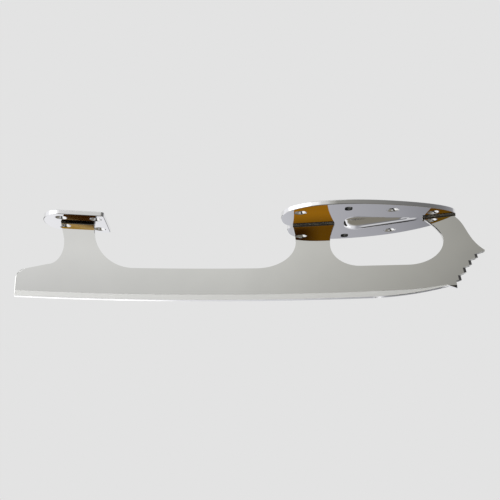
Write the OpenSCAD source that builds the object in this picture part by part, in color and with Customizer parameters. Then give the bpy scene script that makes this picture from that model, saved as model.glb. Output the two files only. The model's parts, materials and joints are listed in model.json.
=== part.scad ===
// Figure skate blade: a hollow-ground runner brazed to a sole plate and a heel plate.
// +X points to the toe and +Z up. The origin is on top of the sole plate, level with
// its rear screw holes, in the middle plane of the runner.

/* [Runner] */
// Thickness of the runner steel
runner_t = 4; // [3:0.1:6]
// Height of the runner between the stanchions
runner_h = 19.7; // [16:0.1:23]
// Depth of the running edge below the top of the sole plate
ride_h = 49.6; // [46:0.1:56]
// Radius of the main rocker, about eight feet
rocker_r = 2438; // [1800:1:3000]
// Radius of the tighter rocker behind the toe picks
toe_rocker_r = 206; // [170:1:260]
// Distance from the rear sole screws to the start of the toe rocker
toe_rocker_x = 43; // [35:1:50]
// Radius of the hollow ground along the running edge
hollow_r = 11.1; // [8:0.1:20]
// Flat land left along each edge, outside the hollow
edge_land = 0.15; // [0.1:0.01:0.4]
// Extra land along the toe rocker, where the hollow gets shallower
toe_land = 0.1; // [0.05:0.01:0.2]
// Height of the ground band above the running edge
relief_h = 3.4; // [2:0.1:6]
// Depth to which the ground band is cut into each side
relief_depth = 0.1; // [0.05:0.01:0.2]
// Distance from the rear sole screws to where the band starts to narrow
relief_toe_x = 59; // [52:1:65]

/* [Tail] */
// Distance of the tail end behind the rear sole screws
tail_x = 178.4; // [172:1:190]
// Lean of the tail end over its height
tail_lean = 2; // [0:0.1:4]
// Depth of the tail's top corner below the top of the sole plate
tail_depth = 26.4; // [24:0.1:30]
// Length of the round at the tail's top corner
tail_round_l = 6; // [3:0.1:8]
// Height of the round at the tail's top corner
tail_round_h = 6.4; // [3:0.1:9]

/* [Heel stanchion] */
// Distance of the heel stanchion's middle behind the rear sole screws
heel_post_x = 136.9; // [130:0.1:142]
// Width of the heel stanchion at its waist
heel_post_w = 18.5; // [14:0.1:24]
// Depth of the rear waist below the top of the sole plate
heel_rear_waist = 10.3; // [7:0.1:13]
// Depth of the front waist below the top of the sole plate
heel_front_waist = 2.6; // [1.5:0.1:6]
// Length of the rear foot, where the stanchion sweeps into the tail
heel_rear_foot = 9.8; // [6:0.1:14]
// Length of the front foot, where the stanchion sweeps into the runner
heel_front_foot = 25.5; // [18:0.1:32]
// Spread of the stanchion's rear edge where it meets the heel plate
heel_rear_flare = 2.5; // [0:0.1:5]
// Rise of the tail's top from its corner to the rear foot
tail_rise = 2.6; // [0:0.1:4]

/* [Sole stanchion] */
// Distance of the sole stanchion's middle ahead of the rear sole screws
sole_post_x = 7.2; // [5:0.1:9]
// Width of the sole stanchion at its waist
sole_post_w = 21; // [16:0.1:25]
// Depth of the rear waist below the top of the sole plate
sole_rear_waist = 13.9; // [11:0.1:17]
// Depth of the front waist below the top of the sole plate
sole_front_waist = 15.7; // [12:0.1:18]
// Length of the rear foot
sole_rear_foot = 23.7; // [16:0.1:30]
// Length of the front foot
sole_front_foot = 18.5; // [12:0.1:24]
// Spread of the rear edge where it meets the sole plate
sole_rear_flare = 2.5; // [0:0.1:3]
// Spread of the front edge where it meets the sole plate
sole_front_flare = 4.2; // [0:0.1:6]

/* [Toe stanchion] */
// Distance of the toe stanchion's waist ahead of the rear sole screws
toe_post_x = 87.1; // [84:0.1:89]
// Depth of that waist below the top of the sole plate
toe_waist = 14.8; // [12:0.1:17]
// Length of the foot that sweeps into the window's floor
toe_foot = 22; // [16:0.1:26]
// Depth of the window's floor below the top of the sole plate
window_depth = 29.7; // [27:0.1:31]
// Spread of the rear edge where it meets the sole plate
toe_flare = 12.1; // [9:0.1:13]
// Distance that the stanchion's top stays behind the plate's nose
toe_setback = 0.6; // [0.3:0.1:1.5]
// Swell of the front edge below the nose
brow_l = 6.6; // [4:0.1:8]
// Depth of the brow's fullest point below the top of the sole plate
brow_top = 5; // [3:0.1:7]
// Depth of the front edge's hollow above the top pick, below the top of the sole plate
brow_depth = 14.5; // [11:0.1:16]

/* [Toe picks] */
// Reach of the top pick ahead of the rear sole screws
pick_x = 111.9; // [109:0.1:116]
// Depth of the top pick below the top of the sole plate
pick_depth = 21.4; // [19:0.1:23]
// Thickness of the top pick at its point
pick_point = 0.6; // [0.4:0.1:1.8]
// Reach of the drag pick ahead of the rear sole screws
drag_x = 94.3; // [93:0.1:97]
// Depth of the drag pick below the top of the sole plate
drag_depth = 44.8; // [43.5:0.1:45.5]
// Length of the drag pick's underside
drag_l = 5.3; // [4:0.1:7]
// Share of a pick's height that its upright face takes
pick_face = 0.63; // [0.4:0.01:0.8]
// Share of the drag pick's height that its upright face takes
drag_face = 0.88; // [0.7:0.01:0.95]
// Inward bow of the row of picks between the top pick and the drag pick
pick_bow = 1; // [0:0.1:2]
// Growth of the picks' spacing towards the drag pick, where 1 is even
pick_growth = 1.13; // [1:0.01:1.3]
// Lean of each pick's face over its height
pick_lean = 0.6; // [0:0.1:1]
// Width of the flat left between the two facets of a pick
pick_land = 0.3; // [0.2:0.1:0.8]
// Share of a pick's upright face that the facets take
pick_cut = 0.94; // [0.7:0.01:0.96]
// Depth of the ground facet on each side of the drag pick's point
drag_facet = 1.2; // [0.5:0.1:1.5]

/* [Sole plate] */
// Thickness of the sole plate
sole_t = 2.8; // [2:0.1:3.5]
// Pitch of the sole plate, toe up, in degrees
sole_pitch = 1.9; // [0:0.1:4]
// Distance of the plate's nose ahead of the rear screws
sole_nose = 95.6; // [93.5:0.1:97]
// Reach of the rear lobe on the near side behind the rear screws
near_lobe = 11.9; // [10:0.1:16]
// Reach of the rear lobe on the far side behind the rear screws
far_lobe = 8.5; // [8:0.1:14]
// Distance of the near lobe's end from the middle plane
near_lobe_y = 18; // [15:0.1:22]
// Distance of the far lobe's end from the middle plane
far_lobe_y = 8; // [6:0.1:12]
// Distance of the notch between the lobes behind the rear screws
lobe_notch = 6.8; // [6.5:0.1:7.6]
// Width of the notch's floor
notch_w = 3; // [2:0.1:5]
// Half width of the plate on the near side
near_w = 41.3; // [34:0.1:44]
// Half width of the plate on the far side
far_w = 34; // [33:0.1:42]
// Distance of the widest point on the near side ahead of the rear screws
near_wide_x = 18; // [10:0.1:25]
// Distance of the widest point on the far side ahead of the rear screws
far_wide_x = 28.3; // [20:0.1:36]
// Fullness of the near side between its widest point and the nose
near_full = 0.5; // [0.35:0.01:0.55]
// Fullness of the far side between its widest point and the nose
far_full = 0.42; // [0.35:0.01:0.55]
// Roundness of the nose on the near side
near_nose = 0.33; // [0.28:0.01:0.45]
// Roundness of the nose on the far side
far_nose = 0.5; // [0.4:0.01:0.6]
// Roundness of the near lobe's outer corner
near_lobe_full = 0.6; // [0.5:0.01:0.75]
// Roundness of the far lobe's outer corner
far_lobe_full = 0.7; // [0.65:0.01:0.85]
// Distance ahead of the rear screws where the toe spring starts
spring_x = 50; // [40:1:60]
// Radius of the toe spring
spring_r = 640; // [450:1:1200]

/* [Sole rib] */
// Distance of the pressed rib's blunt end ahead of the rear screws
rib_start = 26.5; // [24.5:0.1:29]
// Length of the rib's blunt end
rib_round = 8; // [5:0.1:10]
// Distance of the rib's pointed end ahead of the rear screws
rib_end = 75; // [68:0.1:76]
// Depth to which the rib is pressed
rib_depth = 3.4; // [2:0.1:4]
// Half width of the rib at its widest
rib_w = 12; // [9:0.1:14]

/* [Heel plate] */
// Thickness of the heel plate
heel_t = 2.8; // [2:0.1:4]
// Pitch of the heel plate, front end down, in degrees
heel_pitch = 4.7; // [0:0.1:7]
// Height of the heel plate's underside above the top of the sole plate
heel_rise = 2.3; // [1:0.1:6]
// Length of the heel plate behind the stanchion's middle
heel_back = 22.5; // [20:0.1:27]
// Length of the heel plate ahead of the stanchion's middle
heel_front = 17.1; // [16.8:0.1:24]
// Half width of the heel plate
heel_w = 18.2; // [15:0.1:26]
// Length of the round rear end
heel_round = 12; // [8:0.1:18]
// Radius of the two front corners
heel_corner = 2; // [1:0.1:4]

/* [Screw holes] */
// Radius of every screw hole
hole_r = 2.3; // [1.8:0.1:2.6]
// Radius of the countersinks, on the underside
sink_r = 3.8; // [3.5:0.1:4]
// Distance of the near rear screw from the middle plane
rear_near = 27.6; // [25:0.1:28]
// Distance of the far rear screw from the middle plane
rear_far = 20.7; // [19:0.1:21]
// Distance of the second pair ahead of the rear screws
second_x = 28.9; // [24:0.1:32]
// Distance of the near second screw from the middle plane, in a plain hole
second_near = 30.7; // [25:0.1:31]
// Distance of the far second screw from the middle plane, in a plain hole
second_far = 27; // [22:0.1:28]
// Distance that the far second screw lies behind the near one
second_skew = 1.5; // [0:0.1:3]
// Distance of the third pair ahead of the rear screws
third_x = 55.6; // [50:0.1:58]
// Distance of the near third screw from the middle plane
third_near = 23; // [19:0.1:24]
// Distance of the far third screw from the middle plane
third_far = 20.4; // [18:0.1:21]
// Distance of the front pair ahead of the rear screws
front_x = 81; // [79:0.1:82]
// Distance of the near front screw from the middle plane
front_near = 10.4; // [9:0.1:11]
// Distance of the far front screw from the middle plane
front_far = 9; // [8.5:0.1:10]
// Distance of the rear heel screws behind the stanchion's middle
heel_screw_back = 10.2; // [8:0.1:12]
// Distance of the front heel screws ahead of the stanchion's middle
heel_screw_front = 11.2; // [9:0.1:12.5]
// Half spacing of the heel screws
heel_pair = 10.6; // [9:0.1:10.8]

/* [Brazed joints] */
// Leg of the braze fillet along each side of a stanchion
braze_leg = 1.3; // [0.6:0.1:2]
// Gap for the braze round each tenon
braze_gap = 0.1; // [0.05:0.01:0.2]
// Length of the heel stanchion's tenon
heel_tenon = 13; // [8:0.1:16]
// Length of the sole stanchion's tenon
sole_tenon = 14; // [8:0.1:14.5]
// Length of the toe stanchion's tenon
toe_tenon = 9; // [5:0.1:10]

/* [Hidden] */

steel = "#c9c9c6";
plate_steel = "#d6d7da";
braze_tone = "#8a6a3c";

// Points along each quarter curve, and along each free curve
quarter_n = 16;
curve_n = 24;
// Facets of a hole, and of a turn as large as a rocker
$fn = 48;
big_fn = 1440;
// Handles of a stanchion's upper edge: two shares of the waist's depth and one of the spread
post_handles = [0.5, 0.25, 0.7];
toe_handles = [0.66, 0.4, 0.33];
// Overrun of a cut past the face it leaves
over = 1;
// Reach of a cutting block past everything, and past one plate
far = 400;
past_plate = 60;

// Rocker circles: the toe rocker touches the main one from inside at its start
rocker_z = rocker_r - ride_h;
function inner_centre(r, small_r, x) =
    let (k = (r - small_r) / r)
    [k * x, rocker_z - sqrt(pow(r - small_r, 2) - pow(k * x, 2))];
toe_c = inner_centre(rocker_r, toe_rocker_r, toe_rocker_x);
relief_r = rocker_r - relief_h;
relief_toe_r = toe_rocker_r - relief_h;
relief_c = inner_centre(relief_r, relief_toe_r, relief_toe_x);
function toe_edge(x) = toe_c.y - sqrt(pow(toe_rocker_r, 2) - pow(x - toe_c.x, 2));
function runner_top(x) = rocker_z - sqrt(pow(rocker_r - runner_h, 2) - x * x);

// Joint lines: where each stanchion's edges meet its plate
heel_rear_x = -heel_post_x - heel_post_w / 2;
heel_front_x = -heel_post_x + heel_post_w / 2;
heel_top_rear = heel_rear_x - heel_rear_flare;
sole_rear_x = sole_post_x - sole_post_w / 2;
sole_front_x = sole_post_x + sole_post_w / 2;
sole_top_rear = sole_rear_x - sole_rear_flare;
sole_top_front = sole_front_x + sole_front_flare;
toe_top_rear = toe_post_x - toe_flare;
toe_top_front = sole_nose - toe_setback;
// Middles of the two tenons, along the sole plate
sole_tenon_x = sole_post_x + sole_tenon / 4;
toe_tenon_x = (toe_top_rear + toe_top_front) / 2;
heel_top_z = heel_rise + heel_t;

// A quarter of an ellipse about c, from angle a to angle a + 90 or a - 90
function quarter(c, w, h, a, way) =
    [for (i = [0:quarter_n]) let (t = a + way * 90 * i / quarter_n) [c.x + w * cos(t), c.y + h * sin(t)]];
// A free curve from p to s that leaves towards q and arrives from r
function curve(p, q, r, s) =
    [for (i = [0:curve_n]) let (t = i / curve_n, u = 1 - t)
        u * u * u * p + 3 * u * u * t * q + 3 * u * t * t * r + t * t * t * s];
// The upper edge of a stanchion, from its waist to a point above the plate
function flare(waist, spread, z, handles) =
    curve(waist, [waist.x, waist.y * handles[0]], [waist.x + spread * handles[2], waist.y * handles[1]],
        [waist.x + spread, z]);

// Side of the runner

// Tips of the picks run in a line from the top pick to the drag pick
pick_count = 6;
function tip(i) =
    let (s = i / (pick_count - 1), first_z = -pick_depth - pick_point)
    [pick_x + (drag_x - pick_x) * s - pick_bow * sin(180 * s),
        first_z - (drag_depth + first_z) * pow(s, pick_growth)];
// The notch above tip i lies at the top of its upright face
function notch(i) =
    let (a = tip(i - 1), b = tip(i), share = i == pick_count - 1 ? drag_face : pick_face)
    [b.x - pick_lean, b.y + (a.y - b.y) * share];
drag_back = [drag_x - drag_l, toe_edge(drag_x - drag_l)];

function pick_points() = concat(
    [[pick_x, -pick_depth], tip(0)],
    [for (i = [1:pick_count - 1]) for (p = [notch(i), tip(i)]) p],
    [drag_back]);

function tail_points() =
    let (corner = [-tail_x + tail_lean + tail_round_l, -tail_depth - tail_round_h])
    concat(
        [[-tail_x, -ride_h - over]],
        quarter(corner, tail_round_l, tail_round_h, 180, -1));

function heel_post_points() =
    let (foot_x = heel_rear_x - heel_rear_foot, foot_z = -tail_depth + tail_rise,
        front_foot_x = heel_front_x + heel_front_foot)
    concat(
        quarter([foot_x, -heel_rear_waist], heel_rear_foot, -heel_rear_waist - foot_z, 270, 1),
        flare([heel_rear_x, -heel_rear_waist], -heel_rear_flare, heel_top_z + over, post_handles),
        [[heel_front_x, heel_top_z + over]],
        quarter([front_foot_x, -heel_front_waist], heel_front_foot,
            -heel_front_waist - runner_top(front_foot_x), 180, 1));

function bridge_points() =
    let (a = heel_front_x + heel_front_foot, b = sole_rear_x - sole_rear_foot)
    [for (i = [1:curve_n - 1]) let (x = a + (b - a) * i / curve_n) [x, runner_top(x)]];

function reversed(list) = [for (i = [len(list) - 1:-1:0]) list[i]];

function sole_post_points() =
    let (rear_foot_x = sole_rear_x - sole_rear_foot)
    concat(
        quarter([rear_foot_x, -sole_rear_waist], sole_rear_foot,
            -sole_rear_waist - runner_top(rear_foot_x), 270, 1),
        flare([sole_rear_x, -sole_rear_waist], -sole_rear_flare, over, post_handles),
        reversed(flare([sole_front_x, -sole_front_waist], sole_front_flare, over, post_handles)),
        quarter([sole_front_x + sole_front_foot, -sole_front_waist], sole_front_foot,
            window_depth - sole_front_waist, 180, 1));

function toe_post_points() =
    let (top_z = past_plate / 4)
    concat(
        quarter([toe_post_x - toe_foot, -toe_waist], toe_foot, window_depth - toe_waist, 270, 1),
        flare([toe_post_x, -toe_waist], -toe_flare, 0, toe_handles),
        [[toe_top_rear, top_z], [toe_top_front, top_z]],
        curve([toe_top_front, 0], [toe_top_front + brow_l, -brow_top],
            [toe_top_front + brow_l, -brow_depth], [pick_x, -pick_depth]));

module runner_outline()
    polygon(concat(
        tail_points(), heel_post_points(), bridge_points(), sole_post_points(), toe_post_points(),
        pick_points(), [[drag_back.x, -ride_h - over]]));

// The steel above the rockers: main rocker, toe rocker, then the picks in front of both
module above_rockers(main_r, main_x, small_r, small_c) {
    intersection() {
        translate([0, rocker_z]) circle(r = main_r, $fn = big_fn);
        translate([-far, -far / 2]) square([far + main_x, far]);
    }
    intersection() {
        translate(small_c) circle(r = small_r, $fn = big_fn / 4);
        translate([main_x, -far / 2]) square([drag_back.x - main_x, far]);
    }
    translate([drag_back.x, -far / 2]) square([far, far]);
}

module runner_side()
    difference() {
        intersection() {
            runner_outline();
            above_rockers(rocker_r, toe_rocker_x, toe_rocker_r, toe_c);
        }
        difference() {
            union() {
                above_sole(-sole_t);
                above_heel(0);
            }
            tenon_columns();
        }
        above_sole(0);
        above_heel(heel_t);
    }

// Everything above a surface that lies h over the top of the sole plate
module above_sole(h)
    rotate(sole_pitch) {
        translate([-past_plate, h]) square([past_plate + spring_x, 2 * past_plate]);
        intersection() {
            translate([spring_x, spring_r]) circle(r = spring_r - h, $fn = big_fn);
            translate([spring_x, -past_plate]) square([2 * past_plate, 3 * past_plate]);
        }
    }

// Everything above a surface that lies h over the heel plate's underside
module above_heel(h)
    translate([-heel_post_x, heel_rise]) rotate(-heel_pitch)
        translate([-past_plate, h]) square([2 * past_plate, past_plate]);

// Turn of the toe spring at x along the sole plate
function spring_turn(x) = max(0, x - spring_x) / spring_r * 180 / PI;

// Places a drawing of the side on top of the sole plate, x along it
module on_sole_side(x)
    rotate(sole_pitch) translate([min(x, spring_x), spring_r]) rotate(spring_turn(x))
        translate([0, -spring_r]) children();

// The tenons stand square to their plates
module tenon_columns() {
    translate([-heel_post_x, heel_rise]) rotate(-heel_pitch) square([heel_tenon, 4 * heel_t], center = true);
    on_sole_side(sole_tenon_x) square([sole_tenon, 4 * sole_t], center = true);
    on_sole_side(toe_tenon_x) square([toe_tenon, 4 * sole_t], center = true);
}

// The band below the relief line, which is ground a little thinner
module relief_side()
    difference() {
        translate([-tail_x - over, -ride_h - over]) square([tail_x + over + drag_back.x, past_plate]);
        above_rockers(relief_r, relief_toe_x, relief_toe_r, relief_c);
    }

// Stands a drawing of the side upright, t thick, about the middle plane
module upright(t)
    rotate([90, 0, 0]) translate([0, 0, -t / 2]) linear_extrude(t) children();

// A grinding wheel's path along a rocker, from angle a for sweep degrees, that leaves a land on each side
module hollow_cut(c, r, land, a, sweep) {
    half = runner_t / 2 - relief_depth - land;
    drop = sqrt(hollow_r * hollow_r - half * half);
    translate([c.x, 0, c.y]) rotate([90, 0, 0]) rotate([0, 0, a])
        rotate_extrude(angle = sweep, $fn = r > far ? big_fn : big_fn / 4)
            intersection() {
                translate([r + drop, 0]) circle(r = hollow_r, $fn = 180);
                translate([r - over, -half - over]) square([2 * over, 2 * (half + over)]);
            }
}

// The two paths overlap at the start of the toe rocker, where the shallower one takes over
module hollow() {
    tail_end = asin((tail_x + over) / rocker_r);
    main_end = asin((toe_rocker_x + over) / rocker_r);
    toe_start = asin((toe_rocker_x - over - toe_c.x) / toe_rocker_r);
    toe_end = asin((drag_back.x - toe_c.x) / toe_rocker_r);
    hollow_cut([0, rocker_z], rocker_r, edge_land, 270 - tail_end, tail_end + main_end);
    hollow_cut(toe_c, toe_rocker_r, edge_land + toe_land, 270 + toe_start, toe_end - toe_start);
}

// Two facets that narrow a pick's upright face to a flat in the middle plane
module pick_facets(i) {
    low = tip(i);
    high = notch(i);
    face_h = norm(high - low);
    lean = atan2(high.x - low.x, high.y - low.y);
    out = runner_t / 2 + over;
    inner = pick_land / 2;
    translate([low.x, 0, low.y]) rotate([0, lean, 0]) translate([0, 0, -over])
        linear_extrude(pick_cut * face_h + over)
            for (way = [-1, 1])
                polygon([[0, way * inner], [inner - out, way * out], [over, way * out], [over, way * inner]]);
}

module drag_facets() {
    top_z = drag_back.y;
    half = runner_t / 2;
    slope = drag_facet / (top_z + drag_depth);
    for (way = [-1, 1])
        translate([drag_back.x + over / 2, 0, 0]) rotate([90, 0, 90]) linear_extrude(drag_l + over)
            polygon([[way * half, top_z], [way * (half - drag_facet - slope * over), -drag_depth - over],
                [way * (half + over), -drag_depth - over], [way * (half + over), top_z]]);
}

module runner()
    color(steel) difference() {
        upright(runner_t) runner_side();
        for (way = [-1, 1])
            translate([0, way * (runner_t - relief_depth), 0]) upright(runner_t) relief_side();
        hollow();
        for (i = [1:pick_count - 2])
            pick_facets(i);
        drag_facets();
    }

// Plates

// Lies a drawing of the side across the whole width of the plate
module across()
    upright(2 * past_plate) children();

// Places something on top of the level sole plate, x along it
module on_sole(x)
    translate([min(x, spring_x), 0, spring_r]) rotate([0, -spring_turn(x), 0]) translate([0, 0, -spring_r])
        children();

// A hole through a plate t thick whose top is at z = 0, countersunk below if sunk
module screw_hole(t, sunk) {
    sink_h = sink_r - hole_r;
    translate([0, 0, -t - over]) cylinder(r = hole_r, h = t + 2 * over);
    if (sunk)
        translate([0, 0, -t - over]) cylinder(r1 = sink_r + over, r2 = hole_r, h = sink_h + over);
}

module sole_holes()
    for (hole = [
            [0, -rear_near, true], [0, rear_far, true],
            [second_x, -second_near, false], [second_x - second_skew, second_far, false],
            [third_x, -third_near, true], [third_x, third_far, true],
            [front_x, -front_near, true], [front_x, front_far, true]])
        on_sole(hole.x) translate([0, hole.y, 0]) screw_hole(sole_t, hole[2]);

// Outline of the sole plate, seen from above: two rear lobes, full sides and a narrow nose
function sole_points() = concat(
    curve([-near_lobe, -near_lobe_y], [-near_lobe, -near_lobe_y - near_lobe_full * (near_w - near_lobe_y)],
        [near_wide_x - near_lobe_full * (near_wide_x + near_lobe), -near_w], [near_wide_x, -near_w]),
    curve([near_wide_x, -near_w], [near_wide_x + near_full * (sole_nose - near_wide_x), -near_w],
        [sole_nose, -near_nose * near_w], [sole_nose, 0]),
    curve([sole_nose, 0], [sole_nose, far_nose * far_w],
        [far_wide_x + far_full * (sole_nose - far_wide_x), far_w], [far_wide_x, far_w]),
    curve([far_wide_x, far_w], [far_wide_x - far_lobe_full * (far_wide_x + far_lobe), far_w],
        [-far_lobe, far_lobe_y + far_lobe_full * (far_w - far_lobe_y)], [-far_lobe, far_lobe_y]),
    curve([-far_lobe, far_lobe_y], [-far_lobe, far_lobe_y / 2], [-lobe_notch, notch_w],
        [-lobe_notch, notch_w / 2]),
    curve([-lobe_notch, -notch_w / 2], [-lobe_notch - notch_w, -notch_w], [-near_lobe, -near_lobe_y / 2],
        [-near_lobe, -near_lobe_y]));

// The rib's outer face is a spindle whose axis lies above the plate; inset makes the inner face
module rib_spindle(inset) {
    axis_h = (rib_w * rib_w - rib_depth * rib_depth) / (2 * rib_depth);
    rib_mid = (rib_start + rib_end) / 2;
    flat_r = axis_h - inset;
    full_r = axis_h + rib_depth - inset;
    rise = full_r - flat_r;
    // The plate springs up from the rib's straight axis by this much at the pointed end
    spring_drop = pow(max(0, rib_end - max(rib_mid, spring_x)), 2) / (2 * spring_r);
    reach = (rib_end - rib_start - rib_round) / (rise + spring_drop);
    core_r = flat_r - over;
    length = rib_round + reach * (rise + over);
    on_sole(rib_mid)
        translate([rib_start - rib_mid, 0, axis_h - sole_t]) rotate([0, 90, 0])
            rotate_extrude()
                polygon(concat(
                    [[0, 0], [core_r, 0]],
                    [for (i = [0:quarter_n / 2]) let (t = 180 - 90 * i / (quarter_n / 2))
                        [flat_r + rise * sin(t), rib_round * (1 + cos(t))]],
                    [[core_r, length], [0, length]]));
}

module slot(x, l)
    on_sole(x) cube([l + 2 * braze_gap, runner_t + 2 * braze_gap, 4 * sole_t], center = true);

module sole_sheet()
    rotate([0, sole_pitch, 0]) across() difference() {
        above_sole(-sole_t);
        above_sole(0);
    }

module sole_plate()
    color(plate_steel) rotate([0, -sole_pitch, 0]) difference() {
        union() {
            intersection() {
                sole_sheet();
                translate([0, 0, -past_plate]) linear_extrude(2 * past_plate) polygon(sole_points());
            }
            difference() {
                rib_spindle(0);
                rotate([0, sole_pitch, 0]) across() above_sole(-sole_t / 2);
            }
        }
        rib_spindle(sole_t);
        sole_holes();
        slot(sole_tenon_x, sole_tenon);
        slot(toe_tenon_x, toe_tenon);
    }

module heel_holes()
    for (x = [-heel_screw_back, heel_screw_front], way = [-1, 1])
        translate([x, way * heel_pair, heel_t]) screw_hole(heel_t, true);

// Outline of the heel plate: round behind, straight in front with rounded corners
function heel_points() = concat(
    quarter([-heel_back + heel_round, 0], heel_round, heel_w, 180, 1),
    quarter([heel_front - heel_corner, -heel_w + heel_corner], heel_corner, heel_corner, 270, 1),
    quarter([heel_front - heel_corner, heel_w - heel_corner], heel_corner, heel_corner, 0, 1),
    quarter([-heel_back + heel_round, 0], heel_round, heel_w, 90, 1));

module on_heel()
    translate([-heel_post_x, 0, heel_rise]) rotate([0, heel_pitch, 0]) children();

module heel_plate()
    color(plate_steel) on_heel() difference() {
        linear_extrude(heel_t) polygon(heel_points());
        heel_holes();
        cube([heel_tenon + 2 * braze_gap, runner_t + 2 * braze_gap, 4 * heel_t], center = true);
    }

// Braze

// Section of a fillet in the corner under a plate, at the side of a stanchion
module fillet(way)
    difference() {
        translate([min(0, way * braze_leg), -braze_leg]) square(braze_leg);
        translate([way * braze_leg, -braze_leg]) circle(r = braze_leg);
    }

// A straight fillet l long that ends at x = 0, below z = 0, beside the runner
module straight_braze(l, way)
    translate([-l, way * runner_t / 2, 0]) rotate([90, 0, 90]) linear_extrude(l) fillet(way);

// Ends a fillet at the flared edges of its stanchion
module along_joint()
    intersection() {
        children();
        upright(runner_t + 2 * (braze_leg + over)) runner_outline();
    }

module heel_braze(way) {
    length = (heel_front_x - heel_top_rear) / cos(heel_pitch);
    color(braze_tone) along_joint() on_heel()
        translate([(heel_front_x + heel_post_x) / cos(heel_pitch), 0, 0]) straight_braze(length, way);
}

module sole_braze(way) {
    length = (sole_top_front - sole_top_rear) / cos(sole_pitch);
    color(braze_tone) along_joint() rotate([0, -sole_pitch, 0])
        translate([sole_top_front / cos(sole_pitch), 0, -sole_t]) straight_braze(length, way);
}

// The toe joint follows the toe spring, so its fillet is swept about the spring's centre.
// The turned drawing has its y the other way round, so its fillet is the opposite one.
module toe_braze(way) {
    start = spring_turn(toe_top_rear);
    sweep = spring_turn(toe_top_front) - start;
    color(braze_tone) rotate([0, -sole_pitch, 0]) translate([spring_x, 0, spring_r])
        rotate([90, 0, 0]) rotate([0, 0, 270 + start])
            rotate_extrude(angle = sweep, $fn = big_fn)
                translate([spring_r + sole_t, -way * runner_t / 2]) rotate(90) fillet(-way);
}

runner();
sole_plate();
heel_plate();
heel_braze(-1);  // heel_braze_near
heel_braze(1);  // heel_braze_far
sole_braze(-1);  // sole_braze_near
sole_braze(1);  // sole_braze_far
toe_braze(-1);  // toe_braze_near
toe_braze(1);  // toe_braze_far
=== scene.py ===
# %% [markdown]
# # A figure skate blade
#
# The blade is a tall strip of hardened steel, the runner, brazed on edge under two plates that
# screw to a boot. The construction model already holds every size, so this lesson starts from it
# and adds what a drawing can't show: softened edges, polish, grinding marks, braze metal and light.

# %% Load the construction model
import json
import math
import bmesh
import bpy
from mathutils import Matrix, Vector


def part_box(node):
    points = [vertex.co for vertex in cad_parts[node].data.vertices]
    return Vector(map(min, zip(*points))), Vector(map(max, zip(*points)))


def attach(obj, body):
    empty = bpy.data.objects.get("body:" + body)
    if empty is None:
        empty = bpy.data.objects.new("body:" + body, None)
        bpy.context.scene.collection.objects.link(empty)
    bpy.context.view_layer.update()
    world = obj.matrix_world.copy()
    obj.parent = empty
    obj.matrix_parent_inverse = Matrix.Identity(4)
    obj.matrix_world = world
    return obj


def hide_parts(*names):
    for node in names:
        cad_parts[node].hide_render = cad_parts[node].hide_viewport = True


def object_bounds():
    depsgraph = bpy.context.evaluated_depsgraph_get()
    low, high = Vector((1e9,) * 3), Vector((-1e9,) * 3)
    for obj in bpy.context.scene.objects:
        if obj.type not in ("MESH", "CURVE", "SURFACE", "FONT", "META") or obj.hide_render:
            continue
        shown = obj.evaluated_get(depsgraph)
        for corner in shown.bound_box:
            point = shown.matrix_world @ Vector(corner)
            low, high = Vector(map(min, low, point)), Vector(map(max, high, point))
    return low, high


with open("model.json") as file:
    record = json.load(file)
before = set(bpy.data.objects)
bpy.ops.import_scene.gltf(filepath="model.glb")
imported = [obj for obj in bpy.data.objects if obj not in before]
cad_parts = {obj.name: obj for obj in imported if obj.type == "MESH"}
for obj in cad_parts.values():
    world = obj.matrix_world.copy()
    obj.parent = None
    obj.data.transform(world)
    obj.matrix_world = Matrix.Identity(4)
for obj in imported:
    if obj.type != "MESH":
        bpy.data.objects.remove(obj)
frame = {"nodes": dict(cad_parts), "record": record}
cad_box = [list(corner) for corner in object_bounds()]
nodes = frame["nodes"]
MM = 0.001
print("pieces:", ", ".join(sorted(nodes)))
print("size in mm:", [round((high - low) / MM, 1) for low, high in zip(*cad_box)])

# %% [markdown]
# ## Two helpers for every material
#
# Colours are written as the sRGB hex values that a picture editor shows. Shaders work in linear
# light, so one function converts them. A second one adds a node, sets it and links it in one call,
# which keeps a material down to the few lines that matter. Sockets go by name or by number: a Mix
# node's two colours are 6 and 7, and the limits of a Map Range are 1 to 4.

# %% Colour and node helpers


def linear(hex_colour):
    """An sRGB hex colour as linear red, green and blue, with an alpha of 1."""
    channels = [int(hex_colour[i:i + 2], 16) / 255 for i in (1, 3, 5)]
    return [c / 12.92 if c <= 0.04045 else ((c + 0.055) / 1.055) ** 2.4 for c in channels] + [1.0]


def add_node(tree, kind, inputs=(), stops=(), **settings):
    """Add a node. inputs maps sockets to values or to other nodes' sockets; stops fill a colour ramp."""
    node = tree.nodes.new(kind)
    for name, value in settings.items():
        setattr(node, name, value)
    for socket, value in dict(inputs).items():
        if isinstance(value, bpy.types.NodeSocket):
            tree.links.new(value, node.inputs[socket])
        else:
            node.inputs[socket].default_value = value
    for i, (position, colour) in enumerate(stops):
        ramp = node.color_ramp.elements
        stop = ramp[i] if i < 2 else ramp.new(position)
        stop.position = position
        stop.color = linear(colour)
    return node


print("white is", linear("#ffffff"))

# %% [markdown]
# ## Camera
#
# The picture looks square on to the side of the blade, a little from below, with a long lens. A
# long lens keeps the runner's edges nearly parallel. The blade is also turned by under a degree in
# the picture, so the camera is turned by that much about the axis across the blade.

# %% Camera at the photograph's viewing angle
VIEW_AZIMUTH = math.radians(2.16)
VIEW_ELEVATION = math.radians(-15.51)
VIEW_TURN = math.radians(0.818)
VIEW_DISTANCE = 983.1 * MM
VIEW_TARGET = Vector((-31.48, 0, -17.48)) * MM
LENS = 115.07

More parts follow.
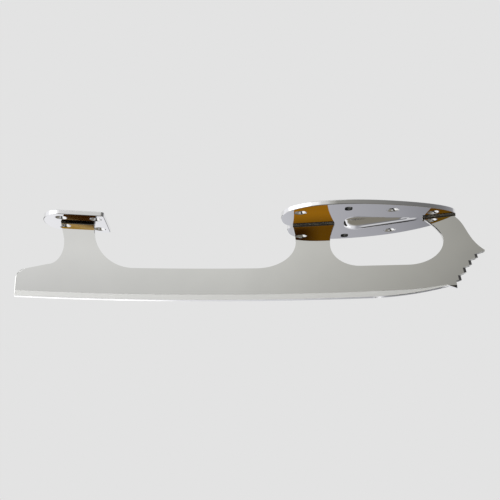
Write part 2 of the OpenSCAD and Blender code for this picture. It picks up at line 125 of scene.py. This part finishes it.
back = Vector((math.sin(VIEW_AZIMUTH) * math.cos(VIEW_ELEVATION),
               -math.cos(VIEW_AZIMUTH) * math.cos(VIEW_ELEVATION), math.sin(VIEW_ELEVATION)))
right = Vector((math.cos(VIEW_AZIMUTH), math.sin(VIEW_AZIMUTH), 0))
axes = Matrix((right, back.cross(right), back)).transposed()
axes = Matrix.Rotation(VIEW_TURN, 3, "Y") @ axes
camera = bpy.data.objects.new("camera", bpy.data.cameras.new("camera"))
bpy.context.scene.collection.objects.link(camera)
camera.data.lens = LENS
camera.matrix_world = Matrix.Translation(VIEW_TARGET + axes.col[2] * VIEW_DISTANCE) @ axes.to_4x4()
bpy.context.scene.camera = camera
print("camera at", [round(v, 4) for v in camera.matrix_world.translation])

# %% [markdown]
# ## Studio
#
# Polished steel has almost no colour of its own: it shows the room. So the room is the most
# important part of this picture. It could be built from lamps and cards, but a world that changes
# with direction does the same with less. Seen from the camera, both walls are pale on the left and
# darker on the right, and the back wall turns paler again towards its right end. Each ramp gives a
# wall's tones from left to right.

# %% Walls of the room
scene = bpy.context.scene
scene.view_settings.view_transform = "Standard"
world = bpy.data.worlds.new("studio")
scene.world = world
world.use_nodes = True
room = world.node_tree
room.nodes.clear()
toward = add_node(room, "ShaderNodeSeparateXYZ", {
    0: add_node(room, "ShaderNodeTexCoord").outputs["Generated"]}).outputs
across = add_node(room, "ShaderNodeMapRange", {0: toward["X"], 1: -1.0, 2: 1.0}).outputs[0]
# The wall behind the camera, which the side of the runner mirrors
front_tones = add_node(room, "ShaderNodeValToRGB", {0: across}, [
    (0.0, "#f8f8f8"), (0.35, "#f2f2f2"), (0.40, "#cfcfce"), (0.478, "#c5c5c2"), (0.53, "#a7a6a1"),
    (0.56, "#8a8984"), (0.75, "#807f7c"), (1.0, "#707070")]).outputs[0]
# Its light from bottom to top: one height is the lightest
front_light = add_node(room, "ShaderNodeValToRGB", {0: toward["Z"]}, [
    (0.18, "#d0d0d0"), (0.238, "#eaeaea"), (0.268, "#ffffff"), (0.40, "#dcdcdc")]).outputs[0]
front_wall = add_node(room, "ShaderNodeMix", {
    0: 1.0, 6: front_tones, 7: front_light}, data_type="RGBA", blend_type="MULTIPLY").outputs[2]
# The wall behind the blade, which the undersides of the plates mirror
back_wall = add_node(room, "ShaderNodeValToRGB", {0: across}, [
    (0.0, "#e5e5e7"), (0.34, "#eaeaec"), (0.365, "#f6f6f6"), (0.385, "#e2e2e4"), (0.47, "#d0d0d4"),
    (0.49, "#c6c7cb"), (0.52, "#a1a1a6"), (0.60, "#606166"), (0.65, "#48484c"), (0.80, "#a2a2a6"),
    (1.0, "#707072")]).outputs[0]
# A brown table low in front, which rises a little to the right; its ramp runs from bottom to top
TABLE_SLOPE = -0.04
TABLE_BOTTOM = -0.30
TABLE_TOP = -0.24
table_height = add_node(room, "ShaderNodeMath", {
    0: toward["X"], 1: TABLE_SLOPE, 2: toward["Z"]}, operation="MULTIPLY_ADD").outputs[0]
table_share = add_node(room, "ShaderNodeMapRange", {
    0: table_height, 1: TABLE_BOTTOM, 2: TABLE_TOP}).outputs[0]
table = add_node(room, "ShaderNodeValToRGB", {0: table_share}, [
    (0.0, "#8a5a10"), (0.19, "#926212"), (0.317, "#5a3b0a"), (0.46, "#5c3c06"), (0.56, "#624a12"),
    (0.63, "#2e1602"), (0.81, "#2e1602"), (0.86, "#b0935f"), (0.89, "#94701c"), (0.92, "#9a741a"),
    (1.0, "#5a3c0c")]).outputs[0]
print("room so far:", len(room.nodes), "nodes")

# %% [markdown]
# ## Zones of the room
#
# The rest of the room is laid over the walls in zones: a strip light, pale cards that brighten the
# edges and the hollow, dark screens that outline the rib, the ceiling, the ground and the table.
# Where a plate and a stanchion meet at a right angle they send the view straight back towards the
# camera, so the brown table shows in those corners as gold. Only light that was mirrored twice sees
# the table. A real table would show in single reflections too, but this keeps the sides looking
# like steel from above. The camera sees only a plain pale backdrop, and the steel mirrors that
# backdrop where it stands.

# %% Zones and backdrop
BACKDROP = "#e3e3e3"
BACKDROP_PLACE = [("Y", 0.5, 0.7), ("Z", 0.0, 0.06)]
ROOM_LIGHT = 1.2
STRIP_LIGHT = [1.75, 1.75, 1.75, 1.0]
CARD_LIGHT = [1.8, 1.8, 1.8, 1.0]
DARK = linear("#262422")
ray = add_node(room, "ShaderNodeLightPath").outputs
twice_mirrored = add_node(room, "ShaderNodeMapRange", {0: ray["Glossy Depth"], 1: 1.0, 2: 2.0}).outputs[0]


def zone_share(limits, share=1.0):
    """How far a direction lies in a zone. A limit is an axis, where the zone begins and where it is full."""
    for axis, begin, full in limits:
        edge = add_node(room, "ShaderNodeMapRange", {
            0: toward[axis], 1: begin, 2: full}, interpolation_type="SMOOTHSTEP").outputs[0]
        share = add_node(room, "ShaderNodeMath", {0: share, 1: edge}, operation="MULTIPLY").outputs[0]
    return share


ZONES = {
    "back wall": (back_wall, [("Y", -0.3, 0.3)]),
    "strip light": (STRIP_LIGHT, [
        ("Z", 0.32, 0.38), ("Z", 0.58, 0.50), ("X", 0.3, 0.12), ("Y", 0.0, -0.3)]),
    "wall above the light": (linear("#5a5a5a"), [("Z", 0.52, 0.62), ("Y", 0.0, -0.3)]),
    "ceiling": (linear("#c0c0c0"), [("Z", 0.8, 0.95)]),
    "ground behind": (linear("#7a766c"), [("Z", -0.5, -0.7)]),
    "ground in front": (linear("#15130f"), [
        ("Z", -0.36, -0.44), ("X", -0.45, -0.3), ("X", 0.45, 0.3), ("Y", 0.25, -0.05)]),
    "pale strip on the ground": (linear("#a8a8a8"), [
        ("Z", -0.85, -0.92), ("X", -0.10, -0.05), ("Y", -0.02, -0.12), ("Y", -0.5, -0.38)]),
    "dark gap behind": (DARK, [
        ("Z", -0.25, -0.225), ("Z", 0.06, 0.03), ("X", 0.07, 0.09), ("X", 0.15, 0.12), ("Y", 0.6, 0.8)]),
    "dark post behind on the right": (DARK, [
        ("Z", -0.09, -0.05), ("Z", 0.06, 0.03), ("X", 0.12, 0.15), ("X", 0.42, 0.34), ("Y", 0.6, 0.8)]),
    "dark screen behind on the left": (DARK, [
        ("Z", -0.45, -0.35), ("Z", 0.06, 0.03), ("X", -0.24, -0.26), ("Y", 0.7, 0.8)]),
    "bench in front": (linear("#3a342a"), [
        ("Z", 0.02, -0.04), ("Z", -0.22, -0.18), ("X", 0.0, 0.02), ("X", 0.3, 0.2), ("Y", -0.3, -0.6)]),
    "white card low behind": (CARD_LIGHT, [
        ("Z", -0.30, -0.32), ("Z", -0.40, -0.37), ("X", -0.09, -0.13), ("X", -0.26, -0.23),
        ("Y", 0.4, 0.6)]),
    "pale card low behind on the right": (linear("#c2c2c4"), [
        ("Z", -0.30, -0.33), ("Z", -0.52, -0.48), ("X", 0.08, 0.12), ("X", 0.45, 0.38), ("Y", 0.4, 0.6)]),
    "white card in front on the left": (CARD_LIGHT, [
        ("Z", 0.0, 0.1), ("Z", 0.5, 0.42), ("X", -0.45, -0.6), ("Y", 0.2, 0.0)]),
    "white card on the left": (linear("#f4f4f4"), [("Z", -0.4, -0.6), ("X", -0.35, -0.55)]),
    "table": (table, [("Z", -0.16, -0.2), ("Z", -0.40, -0.34), ("Y", -0.85, -0.92)]),
    "shade on the table": (linear("#2a1604"), [
        ("Z", -0.2815, -0.279), ("Z", -0.268, -0.272), ("X", -0.06, -0.04), ("X", 0.032, 0.018),
        ("Y", -0.85, -0.92)]),
}
walls = front_wall
for name, (colour, limits) in ZONES.items():
    share = zone_share(limits, twice_mirrored if "table" in name else 1.0)
    walls = add_node(room, "ShaderNodeMix", {0: share, 6: walls, 7: colour}, data_type="RGBA").outputs[2]
steel_or_glass = add_node(room, "ShaderNodeMath", {
    0: ray["Is Glossy Ray"], 1: ray["Is Transmission Ray"]}, operation="MAXIMUM").outputs[0]
mirrored_share = zone_share(BACKDROP_PLACE, steel_or_glass)
backdrop_share = add_node(room, "ShaderNodeMath", {
    0: ray["Is Camera Ray"], 1: mirrored_share}, operation="MAXIMUM").outputs[0]
backdrop = add_node(room, "ShaderNodeBackground", {0: linear(BACKDROP)})
around = add_node(room, "ShaderNodeBackground", {0: walls, 1: ROOM_LIGHT})
both = add_node(room, "ShaderNodeMixShader", {
    0: backdrop_share, 1: around.outputs[0], 2: backdrop.outputs[0]})
add_node(room, "ShaderNodeOutputWorld", {0: both.outputs[0]})
print("zones:", ", ".join(ZONES))

# %% [markdown]
# ## Floor
#
# The blade stands on its running edge, and the picture is taken from below that edge. A floor that
# hid the view from below would be no use, so its material is clear from underneath and also fades
# out round the blade. Steel looks through it to the room, and it keeps the blade's soft shadow.

# %% Floor and overhead light
FLOOR_HALF = 900 * MM
FLOOR_Z = cad_box[0][2]
FADE_BEGINS = 250 * MM
FADE_ENDS = 800 * MM
LAMP_SIZE = 1.0
LAMP_WATTS = 6.0
LAMP_Z = 1.3
floor_mesh = bmesh.new()
bmesh.ops.create_grid(floor_mesh, x_segments=1, y_segments=1, size=FLOOR_HALF)
bmesh.ops.translate(floor_mesh, verts=floor_mesh.verts, vec=(0, 0, FLOOR_Z))
floor_data = bpy.data.meshes.new("floor")
floor_mesh.to_mesh(floor_data)
floor_mesh.free()
floor = bpy.data.objects.new("floor", floor_data)
scene.collection.objects.link(floor)

# Matt floor paint: pale, takes a soft shadow and mirrors nothing
paint = bpy.data.materials.new("pale_floor_paint")
paint.use_nodes = True
tree = paint.node_tree
tree.nodes.clear()
place = add_node(tree, "ShaderNodeTexCoord").outputs["Object"]
reach = add_node(tree, "ShaderNodeVectorMath", {0: place}, operation="LENGTH").outputs["Value"]
clear = add_node(tree, "ShaderNodeMapRange", {
    0: reach, 1: FADE_BEGINS, 2: FADE_ENDS}, interpolation_type="SMOOTHSTEP").outputs[0]
ray = add_node(tree, "ShaderNodeLightPath").outputs
under = add_node(tree, "ShaderNodeNewGeometry").outputs["Backfacing"]
for other in (under, ray["Is Glossy Ray"], ray["Is Shadow Ray"]):
    clear = add_node(tree, "ShaderNodeMath", {0: clear, 1: other}, operation="MAXIMUM").outputs[0]
matt = add_node(tree, "ShaderNodeBsdfDiffuse", {0: linear("#ececec")})
glass = add_node(tree, "ShaderNodeBsdfTransparent")
mixed = add_node(tree, "ShaderNodeMixShader", {0: clear, 1: matt.outputs[0], 2: glass.outputs[0]})
add_node(tree, "ShaderNodeOutputMaterial", {0: mixed.outputs[0]})
floor.data.materials.append(paint)

lamp = bpy.data.objects.new("overhead_softbox", bpy.data.lights.new("overhead_softbox", "AREA"))
lamp.data.size = LAMP_SIZE
lamp.data.energy = LAMP_WATTS
lamp.location = (0, 0, LAMP_Z)
lamp.visible_glossy = False
scene.collection.objects.link(lamp)
print("floor at z =", round(FLOOR_Z / MM, 2), "mm")

# %% [markdown]
# ## Steel finishes
#
# The plates and the sides of the runner are polished and chrome plated, so they mirror the room
# with only faint polishing lines. Along the running edge the chrome is ground away: a band on each
# side, and the hollow underneath, show bright steel with fine lines along the length. Real lines
# are a few hundredths of a millimetre wide and would not show, so they are drawn wider here. Clouds
# of slightly darker metal keep a large flat from looking painted.

# %% Steel materials
CLOUD_SIZE = 22 * MM
CLOUD_TONE = 0.97
# A noise stays mostly between these two
NOISE_LOW = 0.3
NOISE_HIGH = 0.7


def steel(name, colour, roughness, haze, line_length, line_width, line_depth):
    """A metal with fine lines along the blade, sized in mm. haze is how far they spread the roughness."""
    material = bpy.data.materials.new(name)
    material.use_nodes = True
    tree = material.node_tree
    shader = tree.nodes["Principled BSDF"]
    place = add_node(tree, "ShaderNodeTexCoord").outputs["Object"]
    fine = 1 / (line_width * MM)
    along = add_node(tree, "ShaderNodeMapping", {
        "Vector": place, "Scale": (1 / (line_length * MM), fine, fine)}).outputs[0]
    lines = add_node(tree, "ShaderNodeTexNoise", {
        "Vector": along, "Scale": 1.0, "Detail": 2.0}).outputs[0]
    clouds = add_node(tree, "ShaderNodeTexNoise", {
        "Vector": place, "Scale": 1 / CLOUD_SIZE, "Detail": 3.0}).outputs[0]
    tone = add_node(tree, "ShaderNodeMapRange", {
        0: clouds, 1: NOISE_LOW, 2: NOISE_HIGH, 3: CLOUD_TONE, 4: 1.0}).outputs[0]
    shade = add_node(tree, "ShaderNodeMix", {
        0: tone, 6: (0.0, 0.0, 0.0, 1.0), 7: linear(colour)}, data_type="RGBA").outputs[2]
    gloss = add_node(tree, "ShaderNodeMapRange", {
        0: lines, 1: NOISE_LOW, 2: NOISE_HIGH, 3: roughness - haze, 4: roughness + haze}).outputs[0]
    relief = add_node(tree, "ShaderNodeBump", {
        "Height": lines, "Strength": 1.0, "Distance": line_depth * MM}).outputs[0]
    tree.links.new(shade, shader.inputs["Base Color"])
    tree.links.new(gloss, shader.inputs["Roughness"])
    tree.links.new(relief, shader.inputs["Normal"])
    shader.inputs["Metallic"].default_value = 1.0
    return material


# Chrome plate over polished steel: a clear mirror, with lines that only soften it
runner_chrome = steel("chromed_runner_steel", "#f2f2f1", roughness=0.02, haze=0.006,
                      line_length=30, line_width=0.5, line_depth=0.00002)
# The same plating on the pressed plates: shorter, shallower lines and a slightly clearer mirror
plate_chrome = steel("chromed_plate_steel", "#f0f0f1", roughness=0.015, haze=0.005,
                     line_length=12, line_width=0.5, line_depth=0.00001)
# Steel ground with a belt along the edge: satin, so it spreads the light into an even pale strip
band_steel = steel("belt_ground_steel", "#f2f2f0", roughness=0.3, haze=0.02,
                   line_length=60, line_width=0.8, line_depth=0.0005)
# Steel ground with a fine wheel along the hollow: brighter than the band, with long drawn-out lines
hollow_steel = steel("wheel_ground_hollow_steel", "#f4f4f3", roughness=0.14, haze=0.04,
                     line_length=60, line_width=0.3, line_depth=0.0002)
# Blanked and milled sheet edges: plated too, but less flat, so what they mirror is blurred
edge_steel = steel("milled_edge_steel", "#e6e6e4", roughness=0.16, haze=0.04,
                   line_length=3, line_width=0.6, line_depth=0.0002)
# Cut teeth: darker than the polished steel, dull, with short marks
pick_steel = steel("hardened_cut_pick_steel", "#8a8885", roughness=0.2, haze=0.05,
                   line_length=1, line_width=0.3, line_depth=0.0003)
# Walls of drilled holes: rough unpolished steel, with its colour darkened as painted shade inside the holes
hole_steel = steel("painted_shade_drilled_hole_steel", "#5a5a58", roughness=0.4, haze=0.08,
                   line_length=1, line_width=0.4, line_depth=0.0003)
print("steel finishes:", [m.name for m in bpy.data.materials if m.name.endswith("steel")])

# %% [markdown]
# ## Braze metal
#
# The plates are joined to the stanchions with brass that was melted into the corner. It is left
# dull, and its colour is darkened as painted shade of the corner, so it reads as a dark line with a
# brown cast. Soft stains of a few millimetres vary that brown, as the heat does.

# %% Braze material
STAIN_SIZE = 4 * MM
# Brass that flowed into the corner, darkened as painted shade of the corner: half a mirror, brown rather
# than gold
braze = bpy.data.materials.new("braze_brass_darkened_as_painted_shade")
braze.use_nodes = True
tree = braze.node_tree
shader = tree.nodes["Principled BSDF"]
place = add_node(tree, "ShaderNodeTexCoord").outputs["Object"]
stain = add_node(tree, "ShaderNodeTexNoise", {
    "Vector": place, "Scale": 1 / STAIN_SIZE, "Detail": 2.0}).outputs[0]
brown = add_node(tree, "ShaderNodeValToRGB", {0: stain}, [
    (0.35, "#6c675f"), (0.7, "#868073")]).outputs[0]
tree.links.new(brown, shader.inputs["Base Color"])
shader.inputs["Metallic"].default_value = 1.0
shader.inputs["Roughness"].default_value = 0.14
print("braze material:", braze.name)

# %% [markdown]
# ## Softened steel pieces
#
# A real edge is never perfectly sharp: polishing rounds it, and the round catches a line of light.
# Each steel piece is a copy of its construction mesh. Its doubled corners are merged, flat regions
# become single faces, and a small bevel goes round the outline only. Screw holes, picks and the
# running edge stay crisp, as they are on the real blade.
#
# A mirror shows every fault of its shading. Smooth shading takes the mean of the faces at a corner,
# and near a bevel that bends a flat that is truly flat. So corners on a main surface are given that
# surface's exact normal, and Blender's own stays everywhere else.

# %% Finish the steel pieces
HALF_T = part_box("runner")[1].y
MERGE = 0.002 * MM
TOUCH = 0.02 * MM
FLAT = math.radians(0.05)
LEAN = math.radians(17)
CREASE = math.radians(35)
CORNER = math.radians(60)


def merged_copy(node_name):
    """A construction mesh as a bmesh with its corners merged and its flats made whole."""
    mesh = bmesh.new()
    mesh.from_mesh(nodes[node_name].data)
    bmesh.ops.remove_doubles(mesh, verts=mesh.verts, dist=MERGE)
    bmesh.ops.dissolve_limit(mesh, angle_limit=FLAT, verts=mesh.verts, edges=mesh.edges)
    return mesh


def corner_edges(mesh):
    """The edges at which two faces meet at a clear corner."""
    return [e for e in mesh.edges if len(e.link_faces) == 2 and e.calc_face_angle() > CORNER]


def chains(edges):
    """Sort edges into chains that hang together, in the same order on every run."""
    left = dict.fromkeys(edges)
    found = []
    while left:
        chain = [left.popitem()[0]]
        for edge in chain:
            near = dict.fromkeys(e for v in edge.verts for e in v.link_edges if e in left)
            chain.extend(near)
            for e in near:
                del left[e]
        found.append(chain)
    return found


def span(chain):
    """Length of a chain's box along the blade."""
    xs = [v.co.x for edge in chain for v in edge.verts]
    return max(xs) - min(xs)


def finish_piece(mesh, name, node_name, materials, exact_normal):
    """Turn a bmesh into a smooth object that stands for a construction node.

    exact_normal gives the normal of a face at a corner, or zero to keep Blender's own."""
    for face in mesh.faces:
        face.smooth = True
    data = bpy.data.meshes.new(name)
    mesh.to_mesh(data)
    mesh.free()
    data.set_sharp_from_angle(angle=CREASE)
    for material in materials:
        data.materials.append(material)
    normals = [Vector()] * len(data.loops)
    for face in data.polygons:
        for i in face.loop_indices:
            normals[i] = exact_normal(face, data.vertices[data.loops[i].vertex_index])
    data.normals_split_custom_set(normals)
    piece = bpy.data.objects.new(name, data)
    scene.collection.objects.link(piece)
    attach(piece, "root")
    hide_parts(node_name)
    print(name, len(data.polygons), "faces")
    return piece


print("half the runner's thickness in mm:", round(HALF_T / MM, 2))

# %% [markdown]
# ## Runner
#
# On the real runner each surface was worked in another way: the sides are polished, a band along
# the edge and the hollow are ground, the outline is milled and the picks are cut. Painting each
# face by hand would be slow, so the faces are sorted by where they look and where they lie.

# %% Runner faces
PICKS_X = 88 * MM
HOLLOW_Z = -38 * MM
BAND_DEPTH = 0.04 * MM
# Limits on a face's normal
SQUARE = 0.99
SLANTED = 0.25
DOWNWARD = 0.9
SIDE, BAND, HOLLOW, WALL, PICK = range(5)
runner = merged_copy("runner")
for face in runner.faces:
    centre = face.calc_center_median()
    if abs(face.normal.y) > SQUARE:
        face.material_index = BAND if abs(centre.y) < HALF_T - BAND_DEPTH else SIDE
    elif abs(face.normal.y) > SLANTED and centre.x > PICKS_X:
        face.material_index = PICK
    elif face.normal.z < -DOWNWARD and centre.z < HOLLOW_Z:
        face.material_index = HOLLOW
    else:
        face.material_index = WALL
print("faces by finish:", [sum(f.material_index == i for f in runner.faces) for i in range(5)])

# %% [markdown]
# ## Tail
#
# The end of a blade's tail is usually rounded off by hand. Here leaning planes cut its corners, five
# for each turn of the outline, and the smooth shading joins the flats to a round. A bevel would
# stop at the step of the ground band, and a cut does not.

# %% Round the tail
TAIL_ROUND = 1.2 * MM
TAIL_CUT = -166 * MM
TURN_STEP = math.radians(9)
CUT_ANGLES = [math.radians(angle) for angle in (15, 30, 45, 60, 75)]
BACKWARD = 0.5
CUT_TOLERANCE = 0.001 * MM


def tail_parts():
    """The corners, edges and faces that lie wholly behind the cut across the tail."""
    corners = [v for v in runner.verts if v.co.x < TAIL_CUT + CUT_TOLERANCE]
    behind = set(corners)
    return [part for kind in (runner.edges, runner.faces) for part in kind
            if behind.issuperset(part.verts)] + corners


bmesh.ops.bisect_plane(runner, geom=runner.verts[:] + runner.edges[:] + runner.faces[:],
                       plane_co=(TAIL_CUT, 0, 0), plane_no=(1, 0, 0))
end_faces = sorted((math.asin(f.normal.z), f.calc_center_median(), f.normal.copy()) for f in runner.faces
                   if f.normal.x < -BACKWARD and f.calc_center_median().x < TAIL_CUT)
last_turn = -math.pi
cuts = 0
for turn, place, outward in end_faces:
    if turn - last_turn < TURN_STEP:
        continue
    last_turn = turn
    for side in (-1, 1):
        sideways = Vector((0, side, 0))
        middle = Vector((place.x, 0, place.z)) - TAIL_ROUND * outward + (HALF_T - TAIL_ROUND) * sideways
        for angle in CUT_ANGLES:
            facing = math.cos(angle) * outward + math.sin(angle) * sideways
            cut = bmesh.ops.bisect_plane(runner, geom=tail_parts(), plane_co=middle + TAIL_ROUND * facing,
                                         plane_no=facing, clear_outer=True)
            opening = [e for e in cut["geom_cut"] if isinstance(e, bmesh.types.BMEdge)]
            for face in bmesh.ops.holes_fill(runner, edges=opening, sides=0)["faces"]:
                face.material_index = WALL
            cuts += 1
print(cuts, "cuts, open edges:", sum(not e.is_manifold for e in runner.edges))

# %% [markdown]
# ## Outline of the runner
#
# Polishing takes the sharpness off the outline of the runner, except at the picks and along the
# running edge, which have to bite. So the bevel takes only the long chains of edges that lie on the
# sides, behind the picks and above the land of the running edge.

# %% Soften the runner's outline
RUNNER_EDGE = 0.22 * MM
ON_SIDE = 0.01 * MM
LAND_Z = -40 * MM
SHORT_CHAIN = 20 * MM
rim = [e for e in corner_edges(runner)
       if all(abs(v.co.y) > HALF_T - ON_SIDE for v in e.verts)
       and max(v.co.x for v in e.verts) < PICKS_X and min(v.co.z for v in e.verts) > LAND_Z]
rim = [e for chain in chains(rim) if span(chain) > SHORT_CHAIN for e in chain]
bmesh.ops.bevel(runner, geom=rim, offset=RUNNER_EDGE, offset_type="OFFSET", affect="EDGES", segments=3,
                profile=0.5, material=-1, clamp_overlap=True)
band_y = max(abs(f.calc_center_median().y) for f in runner.faces if f.material_index == BAND)


def runner_normal(face, corner):
    """The sides and the ground bands look straight to the side."""
    on_side = min(abs(abs(corner.co.y) - y) for y in (HALF_T, band_y)) < TOUCH
    if on_side and abs(face.normal.y) > math.cos(LEAN):
        return Vector((0, math.copysign(1, face.normal.y), 0))
    return Vector()


finish_piece(runner, "runner_steel", "runner",
             [runner_chrome, band_steel, hollow_steel, edge_steel, pick_steel], runner_normal)

# %% [markdown]
# ## Plates
#
# The plates are pressed from sheet and polished, so their rims are clearly round. Their screw holes
# are drilled and stay rough inside. The rim is the one chain of sharp edges that is as long as the
# plate, so upright faces that don't touch it are walls of holes. The second pair of holes in the
# sole plate are slots across the blade, in which a screw can move while the blade is set. The
# construction model has them round, and moving the halves of each hole apart makes the slot.

# %% Plates
PLATE_EDGE = 0.4 * MM
# The sheet's thickness, and the start and radius of its spring, are the construction model's
PLATE_T = 2.8 * MM
SPRING_X = 50 * MM
SPRING_R = 640 * MM
SLOT_L = 8 * MM
SLOT_MARGIN = 0.1 * MM
RIM_SHARE = 0.8
UPRIGHT = 0.3
POLISHED, DRILLED = range(2)


def plate_normal(seat, flat_up, springs):
    """A function for the normals of a plate: flat, and then, if it springs, bent up round a centre."""
    forward = Vector((flat_up.z, 0, -flat_up.x))
    centre = seat + SPRING_X * forward + SPRING_R * flat_up

    def normal(face, corner):
        up = flat_up
        depth = -(corner.co - seat).dot(up)
        if springs and (corner.co - seat).dot(forward) > SPRING_X:
            up = Vector((centre.x - corner.co.x, 0, centre.z - corner.co.z))
            depth = up.length - SPRING_R
            up.normalize()
        facing = up.dot(face.normal)
        if min(abs(depth), abs(depth - PLATE_T)) < TOUCH and abs(facing) > math.cos(LEAN):
            return math.copysign(1, facing) * up
        on_rim = abs(depth - PLATE_T / 2) < PLATE_T / 2 - PLATE_EDGE + TOUCH
        if on_rim and face.material_index == POLISHED and abs(facing) < math.sin(LEAN):
            return (corner.normal - corner.normal.dot(up) * up).normalized()
        return Vector()

    return normal


mounts = {mount["name"]: mount for mount in frame["record"]["mounts"]}
for node_name in ("sole_plate", "heel_plate"):
    seat = mounts[node_name.replace("plate", "seat")]
    plate = merged_copy(node_name)
    low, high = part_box(node_name)
    rim = [e for chain in chains(corner_edges(plate)) if span(chain) > RIM_SHARE * (high.x - low.x)
           for e in chain]
    rim_edges = set(rim)
    for face in plate.faces:
        # Hole walls take the steel whose colour is darkened as painted shade
        in_hole = abs(face.normal.z) < UPRIGHT and rim_edges.isdisjoint(face.edges)
        face.material_index = DRILLED if in_hole else POLISHED
    print(node_name, "hole faces:", sum(f.material_index == DRILLED for f in plate.faces))
    bmesh.ops.bevel(plate, geom=rim, offset=PLATE_EDGE, offset_type="OFFSET", affect="EDGES",
                    segments=4, profile=0.5, material=-1, clamp_overlap=True)
    for name, hole in mounts.items():
        if node_name != "sole_plate" or not name.startswith("sole_second"):
            continue
        middle = Vector(hole["pos_m"])
        radius = hole["dims"]["r_mm"] * MM
        corners = [v for v in plate.verts if (v.co - middle).xy.length < radius + SLOT_MARGIN]
        for corner in corners:
            corner.co.y += math.copysign(SLOT_L / 2 - radius, corner.co.y - middle.y)
        print("slot with", len(corners), "corners")
    finish_piece(plate, node_name + "_steel", node_name, [plate_chrome, hole_steel],
                 plate_normal(Vector(seat["pos_m"]), Vector(seat["axis"]), node_name == "sole_plate"))

# %% [markdown]
# ## Braze fillets
#
# The construction model already has the fillets' hollow section along each joint. Their shape is
# right, so the six pieces stay as they are and only take the braze material.

# %% Braze fillets
fillets = [name for name in nodes if "braze" in name]
for name in fillets:
    nodes[name].data.materials.clear()
    nodes[name].data.materials.append(braze)
print("fillets:", len(fillets))
